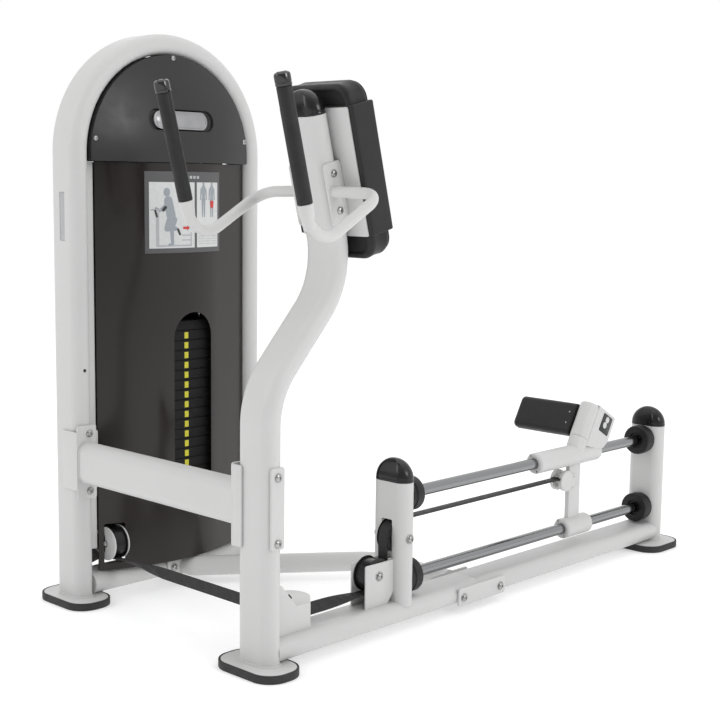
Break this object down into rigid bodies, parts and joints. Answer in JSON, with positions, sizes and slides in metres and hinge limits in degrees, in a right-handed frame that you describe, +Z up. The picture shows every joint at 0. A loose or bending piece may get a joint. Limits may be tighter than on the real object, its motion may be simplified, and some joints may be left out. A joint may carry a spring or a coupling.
{
  "type": "standing glute press machine",
  "caption": "Standing single-leg press: padded leaning column with grips, rod-guided rear-push foot carriage and belt-driven weight tower with pin-selected stack.",
  "frame": {"origin": "on the floor under the centre of the machine's bounding box", "axes": "+X along the base beam from the user's column to the rear post, +Y from the press line towards the weight tower, +Z up"},
  "size_m": [1.6976, 0.9706, 1.393],
  "materials": {
    "frame_paint": "semi-gloss light grey powder coat",
    "chrome": "polished hard chrome",
    "rubber": "matt black moulded rubber",
    "belt": "flat black reinforced belt",
    "gloss_black": "glossy black moulded plastic",
    "smoked": "smoked glossy shroud sheet",
    "wheel": "black nylon wheel",
    "stack_black": "black painted cast weight plate",
    "pin_yellow": "yellow knob on a steel pin",
    "placard_grey": "satin printed sheet",
    "badge_silver": "satin silver plate, blank",
    "vinyl": "black upholstery vinyl over foam"
  },
  "bodies": {
    "frame": {"column_tube": "frame_paint", "beam_front": "frame_paint", "beam_rear": "frame_paint", "splice_plate": "frame_paint", "mid_post": "frame_paint", "rear_post": "frame_paint", "tie_tube": "frame_paint", "tower_arch": "frame_paint", "tower_crossmember": "frame_paint", "brace_tube": "frame_paint", "tower_pulley_bracket": "frame_paint", "top_pulley_bar": "frame_paint", "corner_guard": "frame_paint", "handle_frame": "frame_paint", "bumper_front_upper": "rubber", "bumper_front_lower": "rubber", "bumper_rear_upper": "rubber", "bumper_rear_lower": "rubber", "grip_near": "rubber", "grip_far": "rubber", "stack_cushion": "rubber", "column_foot_rubber": "rubber", "column_foot_plate": "frame_paint", "rear_foot_rubber": "rubber", "rear_foot_plate": "frame_paint", "tower_left_foot_rubber": "rubber", "tower_left_foot_plate": "frame_paint", "tower_right_foot_rubber": "rubber", "tower_right_foot_plate": "frame_paint", "column_cap": "gloss_black", "mid_post_cap": "gloss_black", "rear_post_cap": "gloss_black", "front_cover": "gloss_black", "rear_cover": "gloss_black", "guide_rod_upper": "chrome", "guide_rod_lower": "chrome", "stack_rod_left": "chrome", "stack_rod_right": "chrome", "grip_cap_near": "chrome", "grip_cap_far": "chrome", "front_shroud": "smoked", "rear_shroud": "smoked", "placard": "placard_grey", "badge": "badge_silver", "resting_plates": "stack_black", "belt_lift": "belt", "belt_run": "belt", "chest_pad": "vinyl"},
    "carriage": {"carriage_frame": "frame_paint", "belt_press": "belt"},
    "foot": {"foot_pad_head": "frame_paint", "foot_pad": "vinyl"},
    "lifted": {"lifted_plates": "stack_black"},
    "pin": {"selector_pin": "pin_yellow"},
    "tower_lower_wheel": {"tower_lower_pulley": "wheel"},
    "top_pulley_left_wheel": {"top_pulley_left": "wheel"},
    "top_pulley_right_wheel": {"top_pulley_right": "wheel"},
    "corner_wheel": {"corner_pulley": "wheel"},
    "mid_lower_wheel": {"mid_lower_pulley": "wheel"},
    "mid_upper_wheel": {"mid_upper_pulley": "wheel"}
  },
  "joints": [
    {"name": "stack_lift", "type": "slide", "parent": "frame", "child": "lifted", "axis": [0, 0, 1], "range_m": [0, 0.17], "deforming": ["belt_lift"]},
    {"name": "press_slide", "type": "slide", "parent": "frame", "child": "carriage", "axis": [1, 0, 0], "range_m": [0, 0.17]},
    {"name": "foot_pad_swivel", "type": "hinge", "parent": "carriage", "child": "foot", "pos_m": [0.4168, -0.2876, 0.3124], "axis": [0.5, 0, 0.866], "range_deg": [0, 180]},
    {"name": "pin_pull", "type": "slide", "parent": "lifted", "child": "pin", "axis": [0, -1, 0], "range_m": [0, 0.075]},
    {"name": "mid_upper_spin", "type": "hinge", "parent": "frame", "child": "mid_upper_wheel", "pos_m": [-0.3, -0.2876, 0.219], "axis": [0, 1, 0], "range_deg": [0, 270]},
    {"name": "mid_lower_spin", "type": "hinge", "parent": "frame", "child": "mid_lower_wheel", "pos_m": [-0.3742, -0.2876, 0.14], "axis": [0, 1, 0], "range_deg": [-270, 0]},
    {"name": "corner_spin", "type": "hinge", "parent": "frame", "child": "corner_wheel", "pos_m": [-0.5987, -0.2501, 0.1025], "axis": [0, 0, 1], "range_deg": [0, 270]},
    {"name": "tower_lower_spin", "type": "hinge", "parent": "frame", "child": "tower_lower_wheel", "pos_m": [-0.6362, 0.3518, 0.14], "axis": [1, 0, 0], "range_deg": [-270, 0]},
    {"name": "top_left_spin", "type": "hinge", "parent": "frame", "child": "top_pulley_left_wheel", "pos_m": [-0.5987, 0.3893, 1.205], "axis": [0, 1, 0], "range_deg": [-270, 0]},
    {"name": "top_right_spin", "type": "hinge", "parent": "frame", "child": "top_pulley_right_wheel", "pos_m": [-0.4537, 0.3893, 1.205], "axis": [0, 1, 0], "range_deg": [-270, 0]}
  ],
  "couplings": [
    {"joint": "press_slide", "follows": "stack_lift", "ratio": 1},
    {"joint": "mid_upper_spin", "follows": "stack_lift", "rad_per_m": 26.667},
    {"joint": "mid_lower_spin", "follows": "stack_lift", "rad_per_m": -26.667},
    {"joint": "corner_spin", "follows": "stack_lift", "rad_per_m": 26.667},
    {"joint": "tower_lower_spin", "follows": "stack_lift", "rad_per_m": -26.667},
    {"joint": "top_left_spin", "follows": "stack_lift", "rad_per_m": -26.667},
    {"joint": "top_right_spin", "follows": "stack_lift", "rad_per_m": -26.667}
  ]
}
